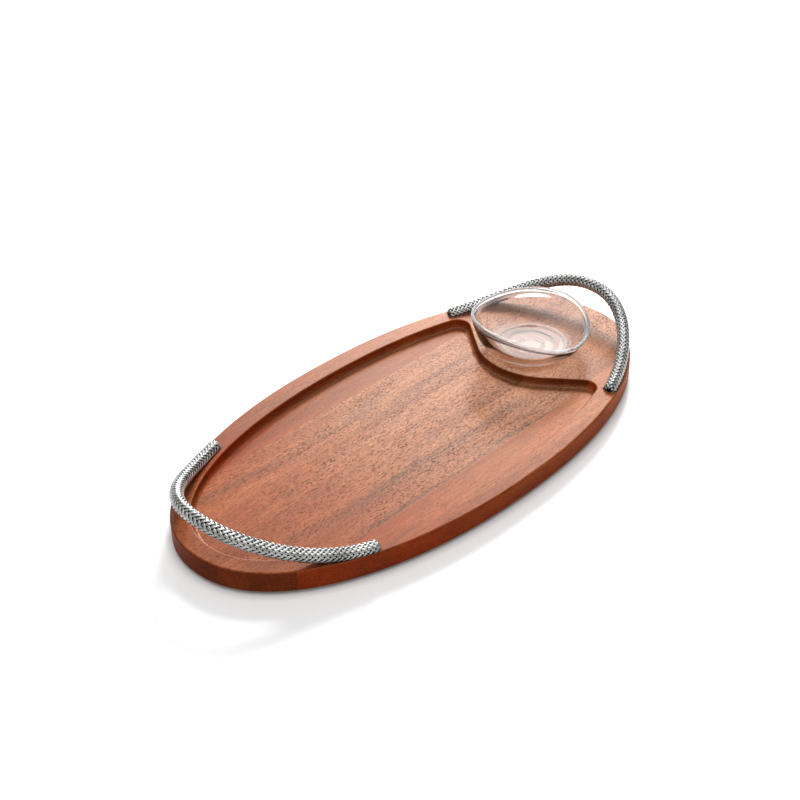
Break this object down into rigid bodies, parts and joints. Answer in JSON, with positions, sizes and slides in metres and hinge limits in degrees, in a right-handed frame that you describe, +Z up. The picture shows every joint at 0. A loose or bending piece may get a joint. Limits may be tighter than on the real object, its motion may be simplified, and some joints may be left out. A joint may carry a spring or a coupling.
{
  "type": "chip and dip server",
  "caption": "Oval wooden serving board with a shallow chip pocket, woven metal arch handles and a loose glass dip bowl on a flat platform.",
  "frame": {"origin": "centre of the footprint, on the surface that the rubber feet stand on", "axes": "+X along the board towards the dip bowl, +Y across the board to the rear, +Z up"},
  "size_m": [0.54, 0.266, 0.0664],
  "materials": {
    "board_wood": "satin oiled, fine dark pores",
    "core_rod": "dark, shaded by the weave",
    "woven_metal": "bright flat strands",
    "screw_steel": "plain",
    "washer_steel": "plain",
    "foot_rubber": "matt",
    "bowl_glass": "clear polished"
  },
  "bodies": {
    "board": {"front_edge_stave": "board_wood", "front_inner_stave": "board_wood", "centre_stave": "board_wood", "rear_inner_stave": "board_wood", "rear_edge_stave": "board_wood", "left_handle_core": "core_rod", "right_handle_core": "core_rod", "left_handle_braid": "woven_metal", "right_handle_braid": "woven_metal", "left_front_screw": "screw_steel", "left_rear_screw": "screw_steel", "right_front_screw": "screw_steel", "right_rear_screw": "screw_steel", "left_front_washer": "washer_steel", "left_rear_washer": "washer_steel", "right_front_washer": "washer_steel", "right_rear_washer": "washer_steel", "left_front_foot": "foot_rubber", "left_rear_foot": "foot_rubber", "right_front_foot": "foot_rubber", "right_rear_foot": "foot_rubber"},
    "bowl": {"dip_bowl": "bowl_glass"}
  },
  "joints": [
    {"name": "bowl_lift", "type": "slide", "parent": "board", "child": "bowl", "axis": [0, 0, 1], "range_m": [0, 0.12]}
  ]
}
